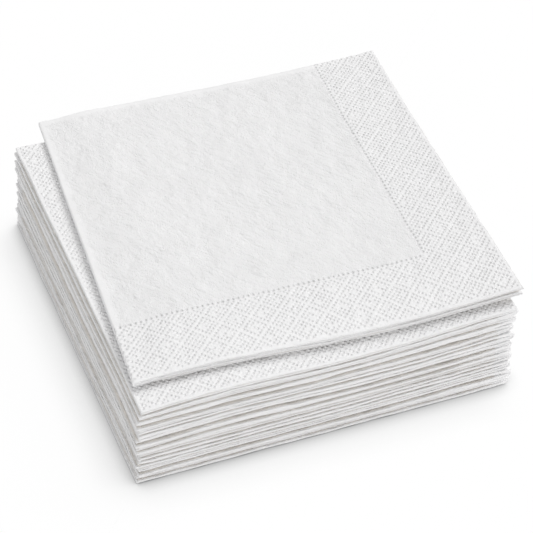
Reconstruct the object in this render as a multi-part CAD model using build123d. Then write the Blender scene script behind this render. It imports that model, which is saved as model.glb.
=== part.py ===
from build123d import *

import math
import os

# Stack of quarter-folded paper napkins, with one more laid askew on top.
# Each napkin is one square sheet of embossed tissue, folded in half and in half again.
# Millimetres and degrees. +Z is up, the front of the stack looks along -Y, and the
# origin is the centre of the bottom napkin's underside.

# Sheet
sheet_side = 250.0
layer_thickness = 0.68
first_fold_gap = 0.24
second_fold_gap = 0.24
crease_chamfer = 0.5

# How far one half of a fold may run past the other half at the open edges
first_fold_slip = 0.5
second_fold_slip = 0.5

# Stack, squared up by hand: how far a napkin may lie out of line with the bottom one
stack_count = 10
stray_x = 0.35
stray_y = 0.3
stray_turn = 0.18

# Uppermost napkin, turned over so that its second fold lies on the left
top_shift_x = 4.7
top_shift_y = 6.1
top_turn = -3.1
top_lift = 0.55

# Heights that follow from the sheet
pair_height = 2 * layer_thickness + first_fold_gap
napkin_height = 2 * pair_height + second_fold_gap

# Sheet taken up in each fold: the first is pressed to a crease, the second rolls round
first_fold_take = layer_thickness + first_fold_gap
second_fold_take = math.pi * (second_fold_gap + pair_height) / 2
second_fold_reach = napkin_height / 2

# Straight part of each half, and the sides of the folded square
first_leg = (sheet_side - first_fold_take) / 2
second_leg = (sheet_side - second_fold_take) / 2
folded_depth = first_leg + layer_thickness / 2
folded_width = second_leg + second_fold_reach

# Angle between one napkin's place in a scatter and the next one's
golden_angle = math.pi * (3 - math.sqrt(5))


def scatter(index, pace):
    """A value from -1 to 1 that differs from napkin to napkin and is 0 for the bottom one."""
    return math.sin(golden_angle * pace * index)


def first_fold_section(slip):
    """Section across the first fold: two layers joined at the rear by a pressed crease."""
    rear = folded_depth / 2
    crease_start = rear - crease_chamfer
    crease_top = pair_height - crease_chamfer
    gap_end = rear - layer_thickness
    gap_top = pair_height - layer_thickness
    lower_end = rear - folded_depth - slip / 2
    upper_end = rear - folded_depth + slip / 2
    outline = Polyline(
        (lower_end, 0),
        (crease_start, 0),
        (rear, crease_chamfer),
        (rear, crease_top),
        (crease_start, pair_height),
        (upper_end, pair_height),
        (upper_end, gap_top),
        (gap_end, gap_top),
        (gap_end, layer_thickness),
        (lower_end, layer_thickness),
        close=True,
    )
    return make_face(outline)


def folded_napkin(first_slip, second_slip, lift=0.0):
    """One sheet folded twice, underside at height 0, first fold at the rear, second at the right.

    The section of the first fold runs along the lower half, round the second fold and back
    along the upper half, which opens by the angle lift.
    """
    fold_x = folded_width / 2 - second_fold_reach
    lower_leg = second_leg + second_slip / 2
    upper_leg = second_leg - second_slip / 2
    section = Plane.YZ.offset(fold_x) * first_fold_section(first_slip)
    fold_axis = Axis((fold_x, 0, napkin_height / 2), (0, -1, 0))
    turn = 180 - lift
    lower_half = extrude(section, amount=lower_leg, dir=(-1, 0, 0))
    bend = revolve(section, axis=fold_axis, revolution_arc=turn)
    upper_half = extrude(section, amount=upper_leg, dir=(1, 0, 0)).rotate(fold_axis, turn)
    return lower_half + bend + upper_half


def stack_napkin(index):
    """The napkin at this place in the stack, counted from the bottom one at 0."""
    napkin = folded_napkin(
        first_fold_slip * scatter(index + 1, 4),
        second_fold_slip * scatter(index + 1, 5),
    )
    place = Pos(
        stray_x * scatter(index, 1),
        stray_y * scatter(index, 2),
        index * napkin_height,
    )
    return place * Rot(0, 0, stray_turn * scatter(index, 3)) * napkin


def top_napkin():
    """The napkin laid over the stack, its folds on the left and at the rear."""
    napkin = folded_napkin(first_fold_slip, second_fold_slip, top_lift)
    turned_over = mirror(napkin, about=Plane.YZ)
    place = Pos(top_shift_x, top_shift_y, stack_count * napkin_height)
    return place * Rot(0, 0, top_turn) * turned_over


pieces = {f"napkin_{index + 1:02d}": stack_napkin(index) for index in range(stack_count)}
pieces["top_napkin"] = top_napkin()

os.makedirs("parts", exist_ok=True)
for name, piece in pieces.items():
    export_step(piece, os.path.join("parts", f"{name}.step"))
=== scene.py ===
"""Stack of quarter-folded paper napkins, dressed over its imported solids.

Each napkin is one closed mesh of its whole sheet: a flat grid with finer cells where the tissue
shows, folded in half and in half again, settled into the stack and pressed with embossed dots.
Lengths are in millimetres up to the point where a mesh is made.
"""

import logging
import math
from dataclasses import dataclass, field, replace
from enum import Enum

import bpy
import numpy as np
from mathutils import Matrix, Vector


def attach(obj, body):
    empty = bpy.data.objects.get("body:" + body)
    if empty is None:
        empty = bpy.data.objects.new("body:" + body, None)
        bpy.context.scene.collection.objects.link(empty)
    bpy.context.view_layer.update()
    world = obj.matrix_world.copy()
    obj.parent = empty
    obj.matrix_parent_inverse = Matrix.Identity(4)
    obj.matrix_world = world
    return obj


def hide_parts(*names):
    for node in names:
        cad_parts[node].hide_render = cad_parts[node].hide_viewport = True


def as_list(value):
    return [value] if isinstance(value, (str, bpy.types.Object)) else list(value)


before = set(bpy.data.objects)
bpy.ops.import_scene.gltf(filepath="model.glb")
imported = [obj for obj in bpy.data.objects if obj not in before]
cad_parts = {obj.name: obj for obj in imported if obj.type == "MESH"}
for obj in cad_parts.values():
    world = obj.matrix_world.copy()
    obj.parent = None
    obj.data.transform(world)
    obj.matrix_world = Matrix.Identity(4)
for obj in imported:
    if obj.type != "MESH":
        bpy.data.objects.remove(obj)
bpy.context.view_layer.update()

MM = 0.001
PHOTO_SIDE = 533
log = logging.getLogger("napkins")


class SecondFold(Enum):
    """The side on which a napkin's second fold lies, seen from the front."""

    RIGHT = 1
    LEFT = -1


class Side(Enum):
    """The two faces of a sheet of tissue: the embossed one shows, the other is folded inside."""

    SHOWN = 1
    INSIDE = -1


class Finish(Enum):
    """How finely a napkin's upper layer is worked, by how much of it shows."""

    COVERED = "covered"
    EDGE_SHOWS = "edge shows"
    ALL_SHOWS = "all shows"


@dataclass(frozen=True)
class Ripple:
    """A soft unevenness made of a few sine waves, the same on every run."""

    length: float
    height: float
    seed: int
    climb: float = 1.0
    stretch: float = 1.0
    lean: float = 0.0
    waves: int = 8
    shortest: float = 0.6
    longest: float = 1.7

    def of(self, seed: int) -> "Ripple":
        """The same kind of ripple with other waves, for one napkin."""
        return replace(self, seed=self.seed + seed)

    def at(self, x: np.ndarray, y: np.ndarray, z: np.ndarray | float = 0.0) -> np.ndarray:
        """Height of the ripple at each point.

        Args:
            x: Places across the stack.
            y: Places along the stack.
            z: Heights, which shift the waves by the amount climb.

        Returns:
            Offsets whose usual size is the ripple's height.
        """
        dice = np.random.RandomState(self.seed)
        along = x * math.cos(self.lean) + y * math.sin(self.lean)
        across = (y * math.cos(self.lean) - x * math.sin(self.lean)) * self.stretch
        total = np.zeros(np.shape(x))
        for _ in range(self.waves):
            heading = dice.uniform(0, math.tau)
            pace = math.tau / (self.length * dice.uniform(self.shortest, self.longest))
            rise = pace * self.climb * dice.uniform(-1, 1)
            start = dice.uniform(0, math.tau)
            run = along * math.cos(heading) + across * math.sin(heading)
            total += np.sin(pace * run + rise * z + start)
        return self.height * total * math.sqrt(2 / self.waves)


def bump(distance: np.ndarray, centre: float, reach: float) -> np.ndarray:
    """A smooth hill of height 1 at centre that falls away over reach."""
    return np.exp(-(((distance - centre) / reach) ** 2))


def ease(value: np.ndarray) -> np.ndarray:
    """A smooth step from 0 to 1 as value goes from 0 to 1."""
    held = np.clip(value, 0, 1)
    return held * held * (3 - 2 * held)


def ruler(*stretches: tuple[int, int, int]) -> np.ndarray:
    """Grid marks in order.

    Args:
        stretches: Each a first mark, a last mark and the steps from mark to mark.

    Returns:
        The marks of all the stretches, each once.
    """
    marks = [np.arange(first, last + 1, step) for first, last, step in stretches]
    return np.unique(np.concatenate(marks))


class SheetGrid:
    """Points and faces of a whole sheet laid flat, with both its faces and its cut edges.

    Places are counted in steps from the two fold lines, which cross in the middle of the sheet.
    Where finer cells meet coarser ones, the coarser cells take in the finer ones' corners, so that
    the sheet stays closed.
    """

    RIM_LEVELS = (0.78, 0.3, -0.35)

    def __init__(self, half: int) -> None:
        """Starts an empty sheet.

        Args:
            half: Steps from the sheet's middle to its edges.
        """
        self.half = half
        size = 2 * half + 1
        self.marks = {side: np.zeros((size, size), bool) for side in Side}
        self.patches: dict[Side, list[tuple[np.ndarray, np.ndarray]]] = {side: [] for side in Side}
        self.across = np.zeros(0)
        self.along = np.zeros(0)
        self.level = np.zeros(0)
        self.bulge = np.zeros(0)
        self.quads = np.zeros((0, 4), int)
        self.wide: list[np.ndarray] = []

    def lay(self, side: Side, across: np.ndarray, along: np.ndarray) -> None:
        """Lays a patch of cells between these marks on one face of the sheet.

        Args:
            side: The face that the patch is on.
            across: Marks in steps from the second fold line.
            along: Marks in steps from the first fold line.
        """
        columns = np.sort(across) + self.half
        rows = np.sort(along) + self.half
        self.marks[side][np.ix_(columns, rows)] = True
        self.patches[side].append((columns, rows))

    def close(self) -> "SheetGrid":
        """Numbers the points, makes the faces and joins both sides round the cut edges.

        Returns:
            The grid itself, ready to be folded.
        """
        shown, inside = self.marks[Side.SHOWN], self.marks[Side.INSIDE]
        for line in (np.s_[0, :], np.s_[-1, :], np.s_[:, 0], np.s_[:, -1]):
            both = shown[line] | inside[line]
            shown[line] = both
            inside[line] = both
        numbers = {}
        places = []
        count = 0
        for side in Side:
            spots = np.argwhere(self.marks[side])
            number = np.full(self.marks[side].shape, -1)
            number[self.marks[side]] = np.arange(count, count + len(spots))
            numbers[side] = number
            cut = np.abs(spots - self.half).max(axis=1) == self.half
            bulge = cut & (side is Side.INSIDE)
            places.append(np.column_stack([spots - self.half, np.full(len(spots), side.value), bulge]))
            count += len(spots)
        quads = []
        for side in Side:
            plain, wide = self._cells(side, numbers[side])
            flip = slice(None, None, side.value)
            quads.append(plain[:, flip])
            self.wide += [face[flip] for face in wide]
        border = self._border()
        rows = [numbers[Side.SHOWN][border[:, 0], border[:, 1]]]
        for level in self.RIM_LEVELS:
            height = np.full(len(border), level)
            bulge = math.sqrt(1 - ((1 + level) / 2) ** 2)
            places.append(np.column_stack([border - self.half, height, np.full(len(border), bulge)]))
            rows.append(np.arange(count, count + len(border)))
            count += len(border)
        rows.append(numbers[Side.INSIDE][border[:, 0], border[:, 1]])
        for upper, lower in zip(rows, rows[1:]):
            quads.append(np.column_stack([upper, np.roll(upper, -1), np.roll(lower, -1), lower]))
        self.quads = np.concatenate(quads)
        self.across, self.along, self.level, self.bulge = np.concatenate(places).T
        return self

    def _border(self) -> np.ndarray:
        """Finds the marked points round the cut edges.

        Returns:
            Their grid places, in order round the sheet.
        """
        last = 2 * self.half
        marks = self.marks[Side.SHOWN]
        front = [(a, 0) for a in np.flatnonzero(marks[:, 0]) if a < last]
        right = [(last, b) for b in np.flatnonzero(marks[last, :]) if b < last]
        rear = [(a, last) for a in np.flatnonzero(marks[:, last])[::-1] if a > 0]
        left = [(0, b) for b in np.flatnonzero(marks[0, :])[::-1] if b > 0]
        return np.array(front + right + rear + left)

    def _cells(self, side: Side, number: np.ndarray) -> tuple[np.ndarray, list[np.ndarray]]:
        """Makes the faces of one side.

        Args:
            side: The face of the sheet.
            number: The number of the point at each grid place.

        Returns:
            The plain four-cornered cells, and the cells that take in corners of finer ones.
        """
        marks = self.marks[side]
        count_across = np.cumsum(marks, axis=0)
        count_along = np.cumsum(marks, axis=1)
        plain_cells = []
        wide_cells = []
        for columns, rows in self.patches[side]:
            a0, b0 = np.meshgrid(columns[:-1], rows[:-1], indexing="ij")
            a1, b1 = np.meshgrid(columns[1:], rows[1:], indexing="ij")
            corners = [number[a0, b0], number[a0, b1], number[a1, b1], number[a1, b0]]
            extra = count_across[a1, b0] - count_across[a0, b0] + count_across[a1, b1] - count_across[a0, b1]
            extra += count_along[a0, b1] - count_along[a0, b0] + count_along[a1, b1] - count_along[a1, b0]
            plain = extra == len(corners)
            plain_cells.append(np.stack(corners, axis=-1)[plain])
            for left, right, near, far in zip(a0[~plain], a1[~plain], b0[~plain], b1[~plain]):
                up = np.flatnonzero(marks[left, near : far + 1]) + near
                over = np.flatnonzero(marks[left : right + 1, far]) + left
                down = np.flatnonzero(marks[right, near : far + 1])[::-1] + near
                back = np.flatnonzero(marks[left : right + 1, near])[::-1] + left
                walk = [
                    number[left, up[:-1]],
                    number[over[:-1], far],
                    number[right, down[:-1]],
                    number[back[:-1], near],
                ]
                wide_cells.append(np.concatenate(walk))
        return np.concatenate(plain_cells), wide_cells


@dataclass(frozen=True)
class Tissue:
    """The sheet that each napkin is folded from, how tightly it is folded and how finely it is gridded."""

    flat_side: float = 250.0
    thickness: float = 0.6
    pair_gap: float = 0.05
    half_gap: float = 0.45
    room: float = 3.44
    rim: float = 0.26
    steps: int = 456
    first_bend: int = 3
    second_bend: int = 6
    middle_cell: int = 6
    hidden_cell: int = 8
    strip: int = 12
    coarse_cell: int = 24
    edge_cell: int = 2

    @property
    def step(self) -> float:
        """Length of one grid step."""
        return self.flat_side / 2 / self.steps

    @property
    def pair(self) -> float:
        """Height of two layers."""
        return 2 * self.thickness + self.pair_gap

    @property
    def height(self) -> float:
        """Height of a folded napkin with its layers lying close."""
        return 2 * self.pair + self.half_gap

    def grid(self, finish: Finish, border: int, strip: int) -> SheetGrid:
        """Lays out a sheet.

        Args:
            finish: How much of the upper layer shows.
            border: Steps from the open edges to the inner end of the embossed border.
            strip: Steps from the open edges that show where only the edge does.

        Returns:
            The closed grid.
        """
        grid = SheetGrid(self.steps)
        edge_cell = self.middle_cell if finish is Finish.ALL_SHOWS else self.edge_cell
        for side in Side:
            for half in (-1, 1):
                for leaf in (-1, 1):
                    upper = side is Side.SHOWN and half == 1 and leaf == -1
                    if upper and finish is Finish.ALL_SHOWS:
                        self._lay_shown(grid, self.steps - border, self.middle_cell)
                    elif upper and finish is Finish.EDGE_SHOWS:
                        self._lay_shown(grid, self.steps - strip, self.hidden_cell)
                    else:
                        self._lay_covered(grid, side, half, leaf, edge_cell)
        return grid.close()

    def _lay_shown(self, grid: SheetGrid, inner: int, coarse: int) -> None:
        """Lays the upper layer, with single steps along the open edges.

        Args:
            grid: The sheet.
            inner: The mark from which the single steps run to the open edges.
            coarse: Steps to a cell elsewhere.
        """
        end = self.steps
        middle = ((self.second_bend, inner, coarse), (inner, inner, 1))
        fine = ruler((inner, end, 1))
        bend = ruler((0, self.second_bend, 1), *middle)
        crease = ruler((0, self.first_bend, 1), *middle)
        grid.lay(Side.SHOWN, bend, -crease)
        grid.lay(Side.SHOWN, fine, -ruler((0, inner, 1)))
        grid.lay(Side.SHOWN, ruler((0, end, 1)), -fine)

    def _lay_covered(self, grid: SheetGrid, side: Side, half: int, leaf: int, edge_cell: int) -> None:
        """Lays a layer of which only the folds and the cut edges show.

        Args:
            grid: The sheet.
            side: The face of the sheet.
            half: 1 on the half that is folded over by the second fold, -1 on the other.
            leaf: 1 on the leaf that is folded in by the first fold, -1 on the other.
            edge_cell: Steps to a cell along the cut edges.
        """
        end = self.steps
        strip = self.strip
        near = strip // 2
        least = strip // 4
        inner = end - strip
        bend = ruler((0, self.second_bend, 1), (near, strip, least))
        crease = ruler((0, self.first_bend, 1), (least, near, least), (strip, strip, 1))
        body = ruler((strip, inner, self.coarse_cell))
        rows = ruler((inner, end - near, near), (end - least, end, least))
        near_crease = ruler((0, self.first_bend, 1), (near, inner, near))
        grid.lay(side, half * bend, leaf * near_crease)
        grid.lay(side, half * ruler((strip, inner, near)), leaf * crease)
        grid.lay(side, half * body, leaf * body)
        grid.lay(side, half * rows, leaf * ruler((0, near, 1), (near, inner, edge_cell)))
        grid.lay(side, half * ruler((0, near, 1), (near, end, edge_cell)), leaf * rows)


@dataclass(frozen=True)
class Seat:
    """Where a napkin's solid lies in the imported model."""

    UNDERSIDE = 0.05

    middle: tuple[float, float, float]
    turn: float
    width: float
    depth: float

    @classmethod
    def of_node(cls, node: str) -> "Seat":
        """Measures a solid from its underside's front edge and its extent along its own sides.

        Args:
            node: Name of the solid.

        Returns:
            Its seat, the middle being that of its underside.
        """
        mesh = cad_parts[node].data
        flat = np.empty(len(mesh.vertices) * 3)
        mesh.vertices.foreach_get("co", flat)
        points = flat.reshape(-1, 3) / MM
        bottom = points[:, 2].min()
        under = points[points[:, 2] < bottom + cls.UNDERSIDE]
        left = under[np.argmin(under[:, 0] + under[:, 1])]
        right = under[np.argmax(under[:, 0] - under[:, 1])]
        turn = math.atan2(right[1] - left[1], right[0] - left[0])
        cosine, sine = math.cos(turn), math.sin(turn)
        square = points[:, :2] @ np.array([[cosine, -sine], [sine, cosine]])
        low, high = square.min(0), square.max(0)
        mid_x, mid_y = (low + high) / 2
        middle = (mid_x * cosine - mid_y * sine, mid_x * sine + mid_y * cosine, bottom)
        return cls(middle, turn, high[0] - low[0], high[1] - low[1])


@dataclass(frozen=True)
class Settling:
    """How the pile gives under its own weight: it sags along its front and is wider at its foot."""

    side: float = 125.0
    pile: float = 34.4
    overhang: float = 0.1
    thin_corner: float = 0.056
    sag: float = 2.1
    sag_place: float = 0.57
    sag_width: float = 0.3
    sag_depth: float = 8.5
    foot: float = 1.0
    foot_front: float = 0.6
    corner_in: float = 1.2
    sway: Ripple = Ripple(length=70.0, height=0.16, seed=11, climb=0.35)
    squeeze: Ripple = Ripple(length=60.0, height=0.2, seed=37, climb=7.0)
    drift: Ripple = Ripple(length=60.0, height=0.07, seed=23, climb=2.2)
    drift_apart: float = 300.0
    sway_start: float = 14.0
    free_height: float = 8.0
    floor_gap: float = 0.02

    def settle(self, points: np.ndarray) -> np.ndarray:
        """Moves points of a neat pile to where they come to rest.

        Args:
            points: Places in the neat pile.

        Returns:
            Places in the settled pile.
        """
        x, y, z = points.T
        left = np.clip(0.5 - x / self.side, -self.overhang, 1 + self.overhang)
        front = np.clip(0.5 - y / self.side, -self.overhang, 1 + self.overhang)
        from_front = self.side * (1 - front)
        dip = bump(1 - left, self.sag_place, self.sag_width) * bump(from_front, 0, self.sag_depth)
        held = ease(z / self.free_height)
        low = z * (1 - self.thin_corner * left * front - self.sag / self.pile * dip)
        low = low + self.sway.at(x, y, z) * ease(z / self.sway_start)
        low = low + self.squeeze.at(x, y, z) * held * ease((self.pile - z) / self.free_height)
        spread = 2 / self.side * np.clip(1 - z / self.pile, 0, 1) ** 2
        widen = 1 + spread * self.foot
        deepen = 1 + spread * (self.foot + self.foot_front * (1 - left))
        inset = self.corner_in * left * front
        return np.column_stack(
            [
                x * widen + self.drift.at(y, z) * held + inset,
                y * deepen + self.drift.at(x + self.drift_apart, z) * held + inset,
                np.maximum(low, self.floor_gap),
            ]
        )


@dataclass(frozen=True)
class Wire:
    """A number that runs through a node tree, so that sums on it are written as sums."""

    bench: "TreeBench"
    socket: bpy.types.NodeSocket

    def sum(self, operation: str, *others: "Feed") -> "Wire":
        """The result of a maths node's operation on this number and others."""
        return self.bench.sum(operation, self, *others)

    def __add__(self, other: "Feed") -> "Wire":
        """This number plus another."""
        return self.sum("ADD", other)

    def __sub__(self, other: "Feed") -> "Wire":
        """This number less another."""
        return self.sum("SUBTRACT", other)

    def __rsub__(self, other: float) -> "Wire":
        """A plain number less this one."""
        return self.bench.sum("SUBTRACT", other, self)

    def __mul__(self, other: "Feed") -> "Wire":
        """This number times another."""
        return self.sum("MULTIPLY", other)

    def __truediv__(self, other: "Feed") -> "Wire":
        """This number over another."""
        return self.sum("DIVIDE", other)

    def __rtruediv__(self, other: float) -> "Wire":
        """A plain number over this one."""
        return self.bench.sum("DIVIDE", other, self)

    def lesser(self, other: "Feed") -> "Wire":
        """The lesser of this number and another."""
        return self.sum("MINIMUM", other)

    def greater(self, other: "Feed") -> "Wire":
        """The greater of this number and another."""
        return self.sum("MAXIMUM", other)


Feed = Wire | float


class TreeBench:
    """Adds nodes to a tree and wires them up."""

    def __init__(self, tree: bpy.types.NodeTree) -> None:
        """Works on this tree."""
        self.tree = tree

    def node(self, kind: str, **settings: str | bpy.types.NodeTree) -> bpy.types.Node:
        """Adds a node.

        Args:
            kind: The node's type.
            settings: Its properties by name.

        Returns:
            The node.
        """
        made = self.tree.nodes.new(kind)
        for name, value in settings.items():
            setattr(made, name, value)
        return made

    def join(
        self, source: Feed | bpy.types.NodeSocket | tuple[float, ...], target: bpy.types.NodeSocket
    ) -> None:
        """Feeds a socket.

        Args:
            source: What feeds it, or a plain value to set it to.
            target: The socket that is fed.
        """
        if isinstance(source, Wire):
            source = source.socket
        if isinstance(source, bpy.types.NodeSocket):
            self.tree.links.new(source, target)
        else:
            target.default_value = source

    def sum(self, operation: str, *terms: Feed) -> Wire:
        """Does a sum.

        Args:
            operation: The maths node's operation.
            terms: What it works on.

        Returns:
            The result.
        """
        made = self.node("ShaderNodeMath", operation=operation)
        for term, socket in zip(terms, made.inputs):
            self.join(term, socket)
        return Wire(self, made.outputs[0])

    def split(self, vector: bpy.types.NodeSocket) -> list[Wire]:
        """Parts a vector.

        Args:
            vector: The socket that gives it.

        Returns:
            Its three parts.
        """
        parted = self.node("ShaderNodeSeparateXYZ")
        self.join(vector, parted.inputs[0])
        return [Wire(self, part) for part in parted.outputs]

    def bundle(self, *parts: Feed) -> bpy.types.NodeSocket:
        """Makes a vector.

        Args:
            parts: Its parts, the third being 0 if it is left out.

        Returns:
            The socket that gives it.
        """
        made = self.node("ShaderNodeCombineXYZ")
        for part, socket in zip(parts, made.inputs):
            self.join(part, socket)
        return made.outputs[0]

    def seen_rays(self) -> Wire:
        """Tells the rays that the camera sees, straight or by way of gloss or glass.

        Returns:
            1 for them and 0 for the rest.
        """
        rays = self.node("ShaderNodeLightPath").outputs
        seen = self.sum("MAXIMUM", Wire(self, rays["Is Camera Ray"]), Wire(self, rays["Is Glossy Ray"]))
        return seen.greater(Wire(self, rays["Is Transmission Ray"]))


@dataclass(frozen=True)
class Embossing:
    """Dots pressed into the border: diamonds of dots, and a line of beads along its inner side."""

    grid_step: float = Tissue().step
    block_steps: int = 17
    dot_steps: float = 3.14
    dots_out: float = 2.0
    dot_radius: float = 0.76
    dot_stray: float = 0.14
    dot_depth: float = 0.13
    full_least: float = 0.92
    full_spread: float = 0.16
    faint_least: float = -0.05
    faint_spread: float = 1.25
    names_apart: float = 8.0
    bead_line: int = 82
    bead_steps: int = 6
    bead_radius: float = 0.84
    bead_depth: float = 0.17
    plain_margin: float = 1.0
    lip: float = 1.4
    place_name: str = "border_place"
    way_name: str = "press_way"

    def sizes(self) -> dict[str, float]:
        """Lists the pressing tree's sizes.

        Returns:
            The sizes by the names of the tree's inputs.
        """
        slant_step = self.grid_step * math.sqrt(2)
        return {
            "Block Pitch": self.block_steps * slant_step,
            "Dot Pitch": self.dot_steps * slant_step,
            "Dot Radius": self.dot_radius,
            "Dot Depth": self.dot_depth,
            "Dot Stray": self.dot_stray,
            "Bead Line": self.bead_line * self.grid_step,
            "Bead Pitch": self.bead_steps * self.grid_step,
            "Bead Radius": self.bead_radius,
            "Bead Depth": self.bead_depth,
            "Plain Margin": self.plain_margin,
            "Lip": self.lip,
        }

    def tree(self) -> bpy.types.GeometryNodeTree:
        """Builds the tree that presses dots into a sheet.

        The tree reads each point's distances from the two open edges and the way that it gives.

        Returns:
            The node tree, with its sizes as named inputs.
        """
        tree = bpy.data.node_groups.new("press_border", "GeometryNodeTree")
        face = tree.interface
        face.new_socket("Geometry", in_out="INPUT", socket_type="NodeSocketGeometry")
        for name in self.sizes():
            face.new_socket(name, in_out="INPUT", socket_type="NodeSocketFloat")
        face.new_socket("Material", in_out="INPUT", socket_type="NodeSocketMaterial")
        face.new_socket("Geometry", in_out="OUTPUT", socket_type="NodeSocketGeometry")
        bench = TreeBench(tree)
        given = {socket.name: Wire(bench, socket) for socket in bench.node("NodeGroupInput").outputs}
        read = {}
        for name in (self.place_name, self.way_name):
            attribute = bench.node("GeometryNodeInputNamedAttribute", data_type="FLOAT_VECTOR")
            attribute.inputs["Name"].default_value = name
            read[name] = attribute.outputs["Attribute"]
        depth = self.depth(given, bench.split(read[self.place_name]))
        offset = bench.node("ShaderNodeVectorMath", operation="SCALE")
        bench.join(read[self.way_name], offset.inputs[0])
        bench.join(depth * MM, offset.inputs["Scale"])
        press = bench.node("GeometryNodeSetPosition")
        bench.join(given["Geometry"], press.inputs["Geometry"])
        bench.join(offset.outputs[0], press.inputs["Offset"])
        realize = bench.node("GeometryNodeRealizeInstances")
        bench.join(press.outputs[0], realize.inputs[0])
        paint = bench.node("GeometryNodeSetMaterial")
        bench.join(realize.outputs[0], paint.inputs["Geometry"])
        bench.join(given["Material"], paint.inputs["Material"])
        bench.join(paint.outputs[0], bench.node("NodeGroupOutput").inputs[0])
        return tree

    def depth(self, given: dict[str, Feed], place: list[Wire]) -> Wire:
        """Works out the depth of the embossing in millimetres.

        Args:
            given: The sizes by name.
            place: Distances from the two open edges, and how much the tissue gives there.

        Returns:
            The depth, less than 0 on a raised lip.
        """
        side, front, amount = place
        beads = self._beads(given, side, front) + self._beads(given, front, side)
        return (self._dots(given, side, front) + beads) * amount

    def covers(self, place: list[Wire]) -> Wire:
        """Tells the embossed border from the rest of the tissue.

        Args:
            place: Distances from the two open edges, and how much the tissue gives there.

        Returns:
            1 on the border and 0 on the rest.
        """
        side, front, amount = place
        return side.lesser(front).sum("LESS_THAN", self.bead_line * self.grid_step) * amount

    def _hollow(self, away: Wire, aside: Wire, radius: Feed, lip: Feed) -> Wire:
        """Shapes a round hollow with a raised lip.

        Args:
            away: Distance from the hollow's middle one way.
            aside: Distance from it square to that.
            radius: The hollow's radius, lip included.
            lip: How soon the hollow turns up into its lip.

        Returns:
            The depth, which is 1 in the middle.
        """
        share = (away * away + aside * aside) / (radius * radius)
        rest = (1.0 - share).greater(0.0)
        return rest * rest * (1.0 - share * lip)

    def _dots(self, given: dict[str, Feed], side: Wire, front: Wire) -> Wire:
        """Works out the diamonds of dots: a dot, a sparse ring, a ring of dots and a plain channel.

        Args:
            given: The sizes by name.
            side: Distance from the open edge at the side.
            front: Distance from the open edge at the front.

        Returns:
            The dots' depth.
        """
        names = []
        aways = []
        rings = []
        for slant in (side + front, side - front):
            block = slant * math.sqrt(0.5) / given["Block Pitch"]
            whole = block.sum("ROUND")
            place = (block - whole) * given["Block Pitch"]
            nearest = (place / given["Dot Pitch"]).sum("ROUND")
            nearest = nearest.greater(-self.dots_out).lesser(self.dots_out)
            names.append(whole * self.names_apart + nearest)
            aways.append(place - nearest * given["Dot Pitch"])
            rings.append(nearest.sum("ABSOLUTE"))
        bench = side.bench
        dice = bench.node("ShaderNodeTexWhiteNoise", noise_dimensions="2D")
        bench.join(bench.bundle(*names), dice.inputs["Vector"])
        chance = Wire(bench, dice.outputs["Value"])
        nudges = bench.split(dice.outputs["Color"])
        strayed = [away + (nudge - 0.5) * given["Dot Stray"] for away, nudge in zip(aways, nudges)]
        hollow = self._hollow(*strayed, given["Dot Radius"], given["Lip"])
        sparse = bench.sum("MAXIMUM", *rings).sum("MODULO", 2.0)
        full = chance * self.full_spread + self.full_least
        faint = (chance * self.faint_spread + self.faint_least).greater(0.0)
        strength = full + (faint - full) * sparse
        from_edge = side.lesser(front)
        inside = from_edge.sum("LESS_THAN", given["Bead Line"] - given["Plain Margin"])
        margin = (from_edge / given["Plain Margin"]).lesser(1.0)
        return hollow * given["Dot Depth"] * strength * inside * margin

    def _beads(self, given: dict[str, Feed], across: Wire, along: Wire) -> Wire:
        """Works out a line of beads that runs at one distance from an open edge to a fold.

        Args:
            given: The sizes by name.
            across: Distance from the open edge that the line keeps to.
            along: Distance from the other open edge.

        Returns:
            The beads' depth.
        """
        run = along - given["Bead Line"]
        place = run / given["Bead Pitch"]
        away = (place - place.sum("ROUND")) * given["Bead Pitch"]
        hollow = self._hollow(away, across - given["Bead Line"], given["Bead Radius"], given["Lip"])
        return hollow * given["Bead Depth"] * run.sum("GREATER_THAN", given["Bead Pitch"] * 0.5)

    def press(
        self, piece: bpy.types.Object, tree: bpy.types.GeometryNodeTree, material: bpy.types.Material
    ) -> None:
        """Presses the border into a napkin and leaves it a plain mesh.

        Args:
            piece: The napkin, whose mesh carries the places and ways.
            tree: The pressing tree.
            material: The tissue's material.
        """
        values = {**self.sizes(), "Material": material}
        modifier = piece.modifiers.new("press_border", "NODES")
        modifier.node_group = tree
        for item in tree.interface.items_tree:
            if item.in_out == "INPUT" and item.name in values:
                modifier[item.identifier] = values[item.name]
        bpy.context.view_layer.update()
        settled = piece.evaluated_get(bpy.context.evaluated_depsgraph_get())
        pressed = bpy.data.meshes.new_from_object(settled)
        piece.modifiers.clear()
        flat = piece.data
        piece.data = pressed
        bpy.data.meshes.remove(flat)
        pressed.attributes.remove(pressed.attributes[self.way_name])
        pressed.name = piece.name


@dataclass(frozen=True)
class Grain:
    """Noise in the tissue: its input, its lumps' size, how far they are drawn, its detail and height."""

    name: str
    size: float
    draw: float
    detail: float
    height: float = 0.0


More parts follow.
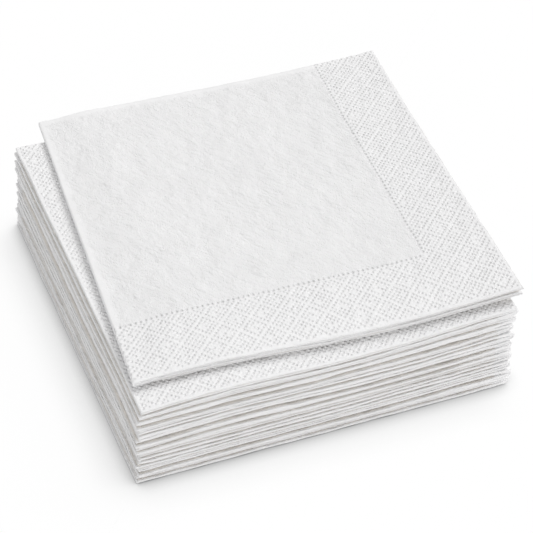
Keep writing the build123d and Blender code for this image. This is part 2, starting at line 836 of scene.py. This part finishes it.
@dataclass(frozen=True)
class TissueFinish:
    """Soft white tissue: matt, faintly mottled, with fine crepe lines and loose fibres."""

    slot: str = "tissue"
    colour: tuple[float, float, float] = (0.848, 0.844, 0.847)
    # Painted light: the border's colour is a little lighter to offset the shade of the pressed dots.
    border_painted_light_colour: tuple[float, float, float] = (0.854, 0.85, 0.853)
    # Painted shade: a warm tan that darkens the inner faces near the cut edges, between the layers.
    painted_shade_colour: tuple[float, float, float] = (0.8, 0.765, 0.725)
    mottle: float = 0.018
    mottle_range: tuple[float, float] = (0.3, 0.7)
    fibre_mottle: float = 0.35
    roughness: float = 0.92
    gloss: float = 0.15
    fibres: Grain = Grain("Fibre Size", 0.45, 1.0, 3.0, 1.5)
    crepe: Grain = Grain("Crepe Size", 0.9, 2.2, 2.0, 1.4)
    wrinkles: Grain = Grain("Wrinkle Size", 3.6, 1.7, 2.0, 4.6)
    clouds: Grain = Grain("Cloud Size", 9.0, 1.3, 3.0)
    hatching: Grain = Grain("Hatch Size", 0.42, 1.0, 1.0, 0.5)
    hatch_ways: tuple[tuple[float, float, float], ...] = ((0.62, 0.62, 0.78), (0.16, 0.16, -0.2))
    crepe_lean: float = 0.66
    edge_calm: float = 0.85
    border_calm: float = 0.55
    relief: float = 0.225
    crispness: float = 2.2
    painted_shade_start: float = 0.45
    edge_name: str = "edge_place"
    embossing: Embossing = Embossing()

    @property
    def grains(self) -> tuple[Grain, ...]:
        """All the noise in the tissue."""
        return (self.fibres, self.crepe, self.wrinkles, self.clouds, self.hatching)

    def fibre_group(self) -> bpy.types.ShaderNodeTree:
        """Builds the group that gives the tissue's relief and its mottling.

        Returns:
            The group, with the outputs Relief, Mottle, Border, which is 1 on the embossed border, and
            Painted Shade, which is 1 where shade is painted on the faces between the layers.
        """
        tree = bpy.data.node_groups.new("tissue_fibres", "ShaderNodeTree")
        for grain in self.grains:
            tree.interface.new_socket(grain.name, in_out="INPUT", socket_type="NodeSocketFloat")
        for name in ("Relief", "Mottle", "Border", "Painted Shade"):
            tree.interface.new_socket(name, in_out="OUTPUT", socket_type="NodeSocketFloat")
        bench = TreeBench(tree)
        sizes = {socket.name: Wire(bench, socket) for socket in bench.node("NodeGroupInput").outputs}
        result = bench.node("NodeGroupOutput").inputs
        # The second part is the distance in from a cut edge on the faces where shade is painted between the
        # layers.
        cut, depth, folded = bench.split(self._carried(bench, self.edge_name))
        place = bench.split(self._carried(bench, self.embossing.place_name))
        bordered = self.embossing.covers(place)
        fibres, crepe, wrinkles, clouds = (self._noise(grain, sizes[grain.name]) for grain in self.grains[:4])
        hatch = self._hatch(sizes[self.hatching.name])

        height = (fibres - 0.5) * self.fibres.height + (crepe - 0.5) * self.crepe.height
        height = height + (wrinkles - 0.5) * self.wrinkles.height
        height = height * (1.0 - cut.greater(folded) * self.edge_calm)
        height = height + (hatch - 0.5) * cut * self.hatching.height
        height = height * (1.0 - bordered * self.border_calm)
        pressed = self.embossing.depth(self.embossing.sizes(), place)
        bench.join(height - pressed * (self.crispness / self.relief), result["Relief"])
        bench.join(fibres * self.fibre_mottle + clouds * (1 - self.fibre_mottle), result["Mottle"])
        bench.join(bordered, result["Border"])
        # Mask of the painted shade between the layers, rising to 1 just in from the cut edges.
        bench.join((depth / self.painted_shade_start).lesser(1.0), result["Painted Shade"])
        return tree

    def _carried(self, bench: TreeBench, name: str) -> bpy.types.NodeSocket:
        """The vector that the mesh carries under a name."""
        return bench.node("ShaderNodeAttribute", attribute_name=name).outputs["Vector"]

    def _hatch(self, size: Wire) -> Wire:
        """Draws short lines that slant down to the right across the cut edges of the layers.

        Args:
            size: The lines' width in millimetres.

        Returns:
            The lines, from 0 to 1.
        """
        bench = size.bench
        place = bench.node("ShaderNodeTexCoord").outputs["Object"]
        slants = []
        for way in self.hatch_ways:
            slant = bench.node("ShaderNodeVectorMath", operation="DOT_PRODUCT")
            bench.join(place, slant.inputs[0])
            bench.join(way, slant.inputs[1])
            slants.append(Wire(bench, slant.outputs["Value"]))
        return self._cloud("2D", bench.bundle(*slants), size, self.hatching.detail)

    def _noise(self, grain: Grain, size: Wire) -> Wire:
        """Makes a cloud of noise, drawn out across the lean of the crepe.

        Args:
            grain: What the noise is like.
            size: Its lumps' size in millimetres.

        Returns:
            The noise, from 0 to 1.
        """
        bench = size.bench
        drawn = bench.node("ShaderNodeMapping", vector_type="TEXTURE")
        bench.join(bench.node("ShaderNodeTexCoord").outputs["Object"], drawn.inputs["Vector"])
        bench.join((1.0, grain.draw, 1.0), drawn.inputs["Scale"])
        bench.join((0.0, 0.0, self.crepe_lean), drawn.inputs["Rotation"])
        return self._cloud("3D", drawn.outputs[0], size, grain.detail)

    def _cloud(self, dimensions: str, place: bpy.types.NodeSocket, size: Wire, detail: float) -> Wire:
        """Makes plain noise.

        Args:
            dimensions: How many parts of the place it reads.
            place: Where it is read, in metres.
            size: Its lumps' size in millimetres.
            detail: How much finer noise is mixed in.

        Returns:
            The noise, from 0 to 1.
        """
        noise = size.bench.node("ShaderNodeTexNoise", noise_dimensions=dimensions)
        for name, source in (("Vector", place), ("Scale", 1 / MM / size), ("Detail", detail)):
            size.bench.join(source, noise.inputs[name])
        return Wire(size.bench, noise.outputs[0])

    def material(self) -> bpy.types.Material:
        """Builds the tissue's material.

        Returns:
            The material.
        """
        made = bpy.data.materials.new(self.slot)
        made.use_nodes = True
        bench = TreeBench(made.node_tree)
        shader = made.node_tree.nodes["Principled BSDF"]
        shader.inputs["Roughness"].default_value = self.roughness
        shader.inputs["Specular IOR Level"].default_value = self.gloss
        group = bench.node("ShaderNodeGroup", node_tree=self.fibre_group())
        for grain in self.grains:
            group.inputs[grain.name].default_value = grain.size
        tint = bench.node("ShaderNodeValToRGB")
        for element, place, sign in zip(tint.color_ramp.elements, self.mottle_range, (-1, 1)):
            element.position = place
            element.color = (*(part + sign * self.mottle for part in self.colour), 1.0)
        bench.join(group.outputs["Mottle"], tint.inputs[0])
        shade = tint.outputs[0]
        # Mixes in the border's painted lightening and the painted shade between the layers.
        for output, colour in (("Border", self.border_painted_light_colour), ("Painted Shade", self.painted_shade_colour)):
            mix = bench.node("ShaderNodeMix", data_type="RGBA")
            bench.join(group.outputs[output], mix.inputs["Factor"])
            bench.join(shade, mix.inputs[6])
            bench.join((*colour, 1.0), mix.inputs[7])
            shade = mix.outputs[2]
        bench.join(shade, shader.inputs["Base Color"])
        relief = bench.node("ShaderNodeBump")
        relief.inputs["Strength"].default_value = 1.0
        relief.inputs["Distance"].default_value = self.relief * MM
        bench.join(group.outputs["Relief"], relief.inputs["Height"])
        bench.join(relief.outputs[0], shader.inputs["Normal"])
        return made


@dataclass(frozen=True)
class Give:
    """How folded tissue gives, the same for every napkin: swells, gaping layers and waves."""

    turn_steps: float = 40.0
    layer_apart: float = 40.0
    napkin_apart: float = 7.0
    front_wave: Ripple = Ripple(14.0, 0.05, 50)
    side_wave: Ripple = Ripple(14.0, 0.05, 80)
    gaping: Ripple = Ripple(30.0, 0.06, 110)
    gape_range: tuple[float, float] = (-0.07, 0.12)
    lumps: Ripple = Ripple(26.0, 0.035, 140)
    creasing: Ripple = Ripple(9.0, 0.0, 170, stretch=0.4, lean=0.3, waves=16)
    nose_gap: float = 0.2
    nose_run: float = 7.0
    nose_length: float = 3.0
    nose_swell: float = 0.2
    nose_width: float = 3.4
    crease_swell: float = 0.1
    crease_width: float = 2.0
    swell_start: float = 2.0
    swell_run: float = 14.0
    edge_width: float = 6.0
    press_width: float = 20.0
    front_press: float = 0.25
    front_press_width: float = 14.0
    front_lift_width: float = 25.0
    lift_share: float = 0.75
    side_gape: float = 1.5
    # How far in from a cut edge shade is painted on the faces between the layers.
    painted_shade_depth: float = 6.0
    fold_steps: int = 24
    crease_steps: int = 10
    soft_cut: float = 0.4


@dataclass
class Napkin:
    """One quarter-folded napkin: its whole sheet as one closed mesh."""

    node: str
    fold: SecondFold
    finish: Finish
    seed: int
    tissue: Tissue
    settling: Settling
    give: Give = Give()
    loose: float = 0.4
    shingle: float = 0.45
    plump: float = 0.17
    lower_lift: float = 0.0
    upper_lift: float = 0.0
    front_lift: float = 0.0
    crumple: float = 0.0
    taper: float = 0.0
    sink: float = 0.0
    pressed: float = 0.0
    flare: float = 0.0
    bow: float = 0.0
    squareness: float = 1.0
    tongue: float = 0.6
    seat: Seat = field(init=False)

    def __post_init__(self) -> None:
        """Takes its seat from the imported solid."""
        self.seat = Seat.of_node(self.node)

    def _slip(self, dice: np.random.RandomState, upper: np.ndarray, inner: np.ndarray) -> np.ndarray:
        """Lets each layer's cut edge run past the neat one, blended smoothly round the folds.

        Args:
            dice: Where the layers' own amounts are drawn from.
            upper: 1 on the upper half, 0 on the lower one.
            inner: 1 on the leaf that is folded in, 0 on the other.

        Returns:
            How far the edge runs past at each point.
        """
        spare = dice.uniform(-self.loose, self.loose, 4)
        lower_edge = spare[0] * (1 - inner) + spare[1] * inner + self.shingle
        upper_edge = spare[3] * (1 - inner) + spare[2] * inner
        return lower_edge * (1 - upper) + upper_edge * upper

    def fold_up(self, grid: SheetGrid, level: np.ndarray) -> np.ndarray:
        """Folds the grid twice and sets it on its seat, before the pile settles.

        Args:
            grid: The flat sheet.
            level: Each point's height in the sheet, from -1 inside to 1 on the shown face.

        Returns:
            Places in the neat pile.
        """
        tissue, give, seat = self.tissue, self.give, self.seat
        dice = np.random.RandomState(self.seed)
        overrun = grid.bulge * tissue.rim / tissue.step
        across = grid.across + np.sign(grid.across) * overrun * (np.abs(grid.across) == tissue.steps)
        along = grid.along + np.sign(grid.along) * overrun * (np.abs(grid.along) == tissue.steps)
        upper = 0.5 + 0.5 * np.tanh(across / give.turn_steps)
        inner = 0.5 + 0.5 * np.tanh(along / give.turn_steps)
        layer = give.layer_apart * (upper + 0.5 * inner) + give.napkin_apart * self.seed

        bend = np.clip(along / tissue.first_bend, -1, 1) * math.pi / 2
        straight = (np.abs(along) - tissue.first_bend).clip(0) / (tissue.steps - tissue.first_bend)
        radius = (tissue.thickness + tissue.pair_gap) / 2 + level * tissue.thickness / 2
        crease = seat.depth / 2 - tissue.pair / 2
        wave = give.front_wave.of(self.seed).at(across * tissue.step, layer)
        front_leg = crease + seat.depth / 2 - tissue.rim / 2 + self._slip(dice, upper, inner) + wave
        y = crease + radius * np.cos(bend) - straight * front_leg
        rise = tissue.pair / 2 + radius * np.sin(bend)

        roll = np.clip(across / tissue.second_bend, -1, 1) * math.pi / 2
        run = (np.abs(across) - tissue.second_bend).clip(0)
        straight = run / (tissue.steps - tissue.second_bend)
        opened = give.nose_gap + (1 - give.nose_gap) * ease(run * tissue.step / give.nose_run)
        radius = tissue.half_gap * opened / 2 + tissue.pair - rise
        nose = seat.width / 2 - tissue.height / 2
        wave = give.side_wave.of(self.seed).at(along * tissue.step, layer)
        side_leg = nose + seat.width / 2 + self.tongue * inner + self._slip(dice, upper, inner) + wave
        x = nose + radius * np.cos(roll).clip(0) ** self.squareness - straight * side_leg
        rounded = np.sign(roll) * np.abs(np.sin(roll)) ** self.squareness
        z = tissue.pair + tissue.half_gap / 2 + radius * rounded
        return self._rest(x, y, z, upper)

    def _rest(self, x: np.ndarray, y: np.ndarray, z: np.ndarray, upper: np.ndarray) -> np.ndarray:
        """Lets the folds swell and the layers part a little, and lays the napkin on its seat.

        Args:
            x: Places across the napkin, towards its second fold.
            y: Places along the napkin, towards its first fold.
            z: Heights above its underside.
            upper: 1 on the upper half, 0 on the lower one.

        Returns:
            Places in the neat pile.
        """
        seat, give = self.seat, self.give
        from_nose = seat.width / 2 - x
        from_crease = seat.depth / 2 - y
        from_side = seat.width / 2 + x
        from_front = seat.depth / 2 + y
        from_folds = np.minimum(from_crease, from_nose - give.nose_length)
        inland = np.minimum(np.minimum(from_front, from_side), from_folds)
        swell = 1 + self.plump * ease((inland - give.swell_start) / give.swell_run)
        swell += give.nose_swell * bump(from_nose, 0, give.nose_width)
        swell += give.crease_swell * bump(from_crease, 0, give.crease_width)
        middle = self.tissue.height / 2
        z = middle + (z - middle) * swell
        edge = np.maximum(bump(from_front, 0, give.edge_width), bump(from_side, 0, give.edge_width))
        z = z + edge * (2 * upper - 1) * give.gaping.of(self.seed).at(x, y).clip(*give.gape_range)
        z = z + give.lumps.of(self.seed).at(x, y)
        reach = (from_nose / seat.width).clip(0, 1 + self.settling.overhang)
        rear = 0.5 + y / seat.depth
        nose_press = ease(1 - from_nose / give.press_width) * (0.5 + 0.5 * rear)
        front_press = give.front_press * bump(from_front, 0, give.front_press_width)
        z = z * (1 - self.pressed * np.maximum(nose_press, front_press))
        z = z + self.lower_lift * reach**4 * give.lift_share * (1 + rear) - self.sink
        z = z + self.front_lift * (1 - reach**2) * bump(from_front, 0, give.front_lift_width)
        z = z + self.upper_lift * upper * (give.side_gape * reach**3 + rear * np.sqrt(reach))
        if self.crumple:
            z = z + replace(give.creasing, height=self.crumple).of(self.seed).at(x, y)
        y = y + self.flare * reach**2 * rear**2
        x = x * self.fold.value * (1 - self.taper * rear - self.bow * rear * (1 - rear) * reach**2)
        turn_x = seat.middle[0] + x * math.cos(seat.turn) - y * math.sin(seat.turn)
        turn_y = seat.middle[1] + x * math.sin(seat.turn) + y * math.cos(seat.turn)
        slack = (self.tissue.room - self.tissue.height) / 2
        return np.column_stack([turn_x, turn_y, seat.middle[2] + slack + z])

    def _mesh(self, grid: SheetGrid, points: np.ndarray) -> bpy.types.Mesh:
        """Makes a mesh of the grid's faces.

        Args:
            grid: The flat sheet.
            points: Where its points come to lie, in metres.

        Returns:
            The closed mesh, with its faces outward.
        """
        order = slice(None, None, self.fold.value)
        quads = grid.quads[:, order]
        wide = [face[order] for face in grid.wide]
        sizes = np.array([4] * len(quads) + [len(face) for face in wide], int)
        starts = np.cumsum(sizes) - sizes
        corners = np.concatenate([quads.ravel(), *wide])
        mesh = bpy.data.meshes.new(self.node)
        mesh.vertices.add(len(points))
        mesh.vertices.foreach_set("co", points.ravel())
        mesh.loops.add(len(corners))
        mesh.loops.foreach_set("vertex_index", corners.astype(np.int32))
        mesh.polygons.add(len(starts))
        mesh.polygons.foreach_set("loop_start", starts.astype(np.int32))
        mesh.update(calc_edges=True)
        mesh.shade_smooth()
        return mesh

    def _carry(self, mesh: bpy.types.Mesh, grid: SheetGrid, inward: np.ndarray) -> None:
        """Writes on the mesh what the embossing and the tissue's material read.

        Args:
            mesh: The napkin's mesh.
            grid: The flat sheet that it was folded from.
            inward: The way into the sheet at each point.
        """
        end, step = self.tissue.steps, self.tissue.step
        from_side, from_front = end - np.abs(grid.across), end - np.abs(grid.along)
        worked = (grid.level == 1) & (grid.across >= 0) & (grid.along <= 0)
        worked &= self.finish is not Finish.COVERED
        from_fold = np.minimum(np.abs(grid.across), np.abs(grid.along))
        depth = np.minimum(from_side, from_front) * step
        # Painted shade: inner faces near a cut edge, where the layers cover each other, get the darker
        # colour.
        shows = worked | (from_fold < self.give.fold_steps) | (depth > self.give.painted_shade_depth)
        painted_shade = np.where(shows, 0.0, depth)
        cut = (grid.bulge > 0) * (self.give.soft_cut if self.finish is Finish.ALL_SHOWS else 1.0)
        carried = {
            Embossing.place_name: [from_side * step, from_front * step, worked],
            Embossing.way_name: list(inward.T),
            TissueFinish.edge_name: [cut, painted_shade, from_fold < self.give.crease_steps],
        }
        for name, columns in carried.items():
            values = np.column_stack(columns).astype(float)
            mesh.attributes.new(name, "FLOAT_VECTOR", "POINT").data.foreach_set("vector", values.ravel())

    def build(self, grid: SheetGrid) -> bpy.types.Object:
        """Makes the napkin from its grid.

        Args:
            grid: The flat sheet that suits its finish.

        Returns:
            The napkin, its mesh carrying what the embossing reads.
        """
        neat = self.fold_up(grid, grid.level)
        shown = self.fold_up(grid, np.ones_like(grid.level))
        inside = self.fold_up(grid, -np.ones_like(grid.level))
        inward = inside - shown
        inward /= np.linalg.norm(inward, axis=1, keepdims=True)
        mesh = self._mesh(grid, self.settling.settle(neat) * MM)
        self._carry(mesh, grid, inward)
        piece = bpy.data.objects.new(f"{self.node}_tissue", mesh)
        bpy.context.scene.collection.objects.link(piece)
        return piece


@dataclass
class NapkinPile:
    """All the napkins: ten squared up by hand and one laid over them, turned over."""

    tissue: Tissue = Tissue()
    embossing: Embossing = Embossing()
    paper: TissueFinish = TissueFinish()
    settling: Settling = Settling()
    stacked: int = 10
    stack_seed: int = 300
    stack_flare: float = 1.4
    top_seed: int = 331
    fine_border: int = 88
    fine_strip: int = 40

    def napkins(self) -> list[Napkin]:
        """Lists the napkins.

        Returns:
            Every napkin from the bottom up.
        """
        pile = []
        for number in range(1, self.stacked + 1):
            finish = Finish.EDGE_SHOWS if number == self.stacked else Finish.COVERED
            napkin = Napkin(
                f"napkin_{number:02d}",
                SecondFold.RIGHT,
                finish,
                self.stack_seed + number,
                self.tissue,
                self.settling,
                flare=self.stack_flare * (number / self.stacked) ** 2,
            )
            pile.append(napkin)
        top = Napkin(
            "top_napkin",
            SecondFold.LEFT,
            Finish.ALL_SHOWS,
            self.top_seed,
            replace(self.tissue, half_gap=0.3, rim=0.5),
            replace(self.settling, corner_in=0.0),
            loose=0.2,
            shingle=0.15,
            plump=0.2,
            lower_lift=2.2,
            upper_lift=0.5,
            front_lift=0.9,
            crumple=0.05,
            taper=0.027,
            bow=0.04,
            squareness=0.5,
            tongue=0.3,
            sink=0.09,
            pressed=0.5,
        )
        return [*pile, top]

    def build(self) -> list[bpy.types.Object]:
        """Builds, presses and dresses each napkin, hangs it under the root and hides its solid.

        Returns:
            The pieces from the bottom up.
        """
        material = self.paper.material()
        tree = self.embossing.tree()
        grids = {finish: self.tissue.grid(finish, self.fine_border, self.fine_strip) for finish in Finish}
        pieces = []
        for napkin in self.napkins():
            piece = napkin.build(grids[napkin.finish])
            self.embossing.press(piece, tree, material)
            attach(piece, "root")
            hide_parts(napkin.node)
            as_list(pieces[-1:])
            pieces.append(piece)
        return pieces


@dataclass(frozen=True)
class Lamp:
    """A broad soft lamp far away: where it hangs, its share of the light on a level floor, its spread."""

    name: str
    away: tuple[float, float, float]
    share: float
    spread: float

    def hang(self) -> None:
        """Hangs the lamp and points it at the pile."""
        way = Vector(self.away).normalized()
        light = bpy.data.lights.new(self.name, "SUN")
        light.energy = self.share * math.pi / way.z
        light.angle = math.radians(self.spread)
        hung = bpy.data.objects.new(self.name, light)
        hung.rotation_mode = "QUATERNION"
        hung.rotation_quaternion = way.to_track_quat("Z", "Y")
        bpy.context.scene.collection.objects.link(hung)


@dataclass(frozen=True)
class Shade:
    """A soft shadow painted on the floor: how far it reaches, its depth at the pile, its falloff, its light's
    way.
    """

    reach: float
    depth: float
    falloff: float
    way: tuple[float, float, float]

    def dim(self, bench: TreeBench) -> Wire:
        """Works out the painted shadow's loss of light at each place on the floor.

        Args:
            bench: The floor's tree.

        Returns:
            The loss.
        """
        nearby = bench.node("ShaderNodeAmbientOcclusion")
        nearby.inputs["Distance"].default_value = self.reach * MM
        bench.join(bench.bundle(*self.way), nearby.inputs["Normal"])
        hidden = 1.0 - Wire(bench, nearby.outputs["AO"])
        return hidden.sum("POWER", self.falloff) * self.depth


@dataclass(frozen=True)
class Studio:
    """A white floor, soft light from above and a camera at the photograph's angle."""

    floor_reach: float = 4.0
    floor_white: float = 0.97
    floor_glow: float = 0.97
    shades: tuple[Shade, ...] = (
        Shade(17.5, 0.66, 2.1, (0.7, 0.42, 0.6)),
        Shade(6.0, 0.7, 1.5, (0.0, 0.0, 1.0)),
    )
    sky: float = 0.505
    lamps: tuple[Lamp, ...] = (
        Lamp("key_lamp", (0.6, 0.21, 0.71), 0.406, 32.0),
        Lamp("fill_lamp", (-0.3, -0.84, 0.42), 0.132, 40.0),
    )
    azimuth: float = -24.05
    elevation: float = 43.47
    roll: float = 3.03
    distance: float = 587.5
    target: tuple[float, float, float] = (2.03, -3.88, 18.0)
    focal_pixels: float = 1777.0
    sensor: float = 36.0
    nearest: float = 0.01
    farthest: float = 50.0

    def build(self) -> None:
        """Sets up the floor, the light, the sky and the camera."""
        bpy.context.scene.view_settings.view_transform = "Standard"
        self._floor()
        for lamp in self.lamps:
            lamp.hang()
        self._sky()
        self._camera()

    def _floor(self) -> None:
        """Lays a wide plain floor that glows white to the camera, with shadows painted into its glow."""
        far = self.floor_reach
        mesh = bpy.data.meshes.new("floor")
        mesh.from_pydata([(-far, -far, 0), (far, -far, 0), (far, far, 0), (-far, far, 0)], [], [(0, 1, 2, 3)])
        floor = bpy.data.objects.new("floor", mesh)
        bpy.context.scene.collection.objects.link(floor)
        paint = bpy.data.materials.new("floor_white")
        paint.use_nodes = True
        shader = paint.node_tree.nodes["Principled BSDF"]
        shader.inputs["Base Color"].default_value = (self.floor_white,) * 3 + (1.0,)
        shader.inputs["Roughness"].default_value = 1.0
        shader.inputs["Specular IOR Level"].default_value = 0.0
        bench = TreeBench(paint.node_tree)
        # The camera sees mostly this glow, dimmed near the pile by painted shadows worked out from occlusion,
        # not cast by the lamps.
        glow = bench.node("ShaderNodeEmission")
        painted_shadows = bench.sum("ADD", *(shade.dim(bench) for shade in self.shades))
        bench.join(1.0 - painted_shadows, glow.inputs["Strength"])
        blend = bench.node("ShaderNodeMixShader")
        seen = bench.seen_rays() * self.floor_glow
        for source, socket in zip((seen, shader.outputs[0], glow.outputs[0]), blend.inputs):
            bench.join(source, socket)
        bench.join(blend.outputs[0], paint.node_tree.nodes["Material Output"].inputs["Surface"])
        mesh.materials.append(paint)

    def _sky(self) -> None:
        """Lights the rest evenly from a sky that looks white."""
        world = bpy.data.worlds.new("studio_sky")
        bpy.context.scene.world = world
        world.use_nodes = True
        bench = TreeBench(world.node_tree)
        backdrop = world.node_tree.nodes["Background"]
        backdrop.inputs["Color"].default_value = (1.0, 1.0, 1.0, 1.0)
        bench.join(bench.seen_rays() * (1.0 - self.sky) + self.sky, backdrop.inputs["Strength"])

    def _camera(self) -> None:
        """Stands the camera where the photograph was taken from."""
        around, above, tilt = (math.radians(angle) for angle in (self.azimuth, self.elevation, self.roll))
        level = Vector((math.cos(around), math.sin(around), 0))
        outward = Vector((math.sin(around), -math.cos(around), 0))
        back = outward * math.cos(above) + Vector((0, 0, math.sin(above)))
        rise = back.cross(level)
        right = level * math.cos(tilt) + rise * math.sin(tilt)
        up = rise * math.cos(tilt) - level * math.sin(tilt)
        lens = bpy.data.cameras.new("camera")
        lens.sensor_width = self.sensor
        lens.lens = self.focal_pixels / PHOTO_SIDE * self.sensor
        lens.clip_start = self.nearest
        lens.clip_end = self.farthest
        camera = bpy.data.objects.new("camera", lens)
        place = (Vector(self.target) + back * self.distance) * MM
        axes = Matrix((right, up, back)).transposed().to_4x4()
        camera.matrix_world = Matrix.Translation(place) @ axes
        bpy.context.scene.collection.objects.link(camera)
        bpy.context.scene.camera = camera


def main() -> None:
    """Builds the napkins, reports each one and sets up the studio round them."""
    logging.basicConfig(level=logging.INFO, format="%(message)s")
    for piece in NapkinPile().build():
        triangles = sum(len(face.vertices) - 2 for face in piece.data.polygons)
        log.info("%s: %d triangles", piece.name, triangles)
    Studio().build()


if __name__ == "__main__":
    main()
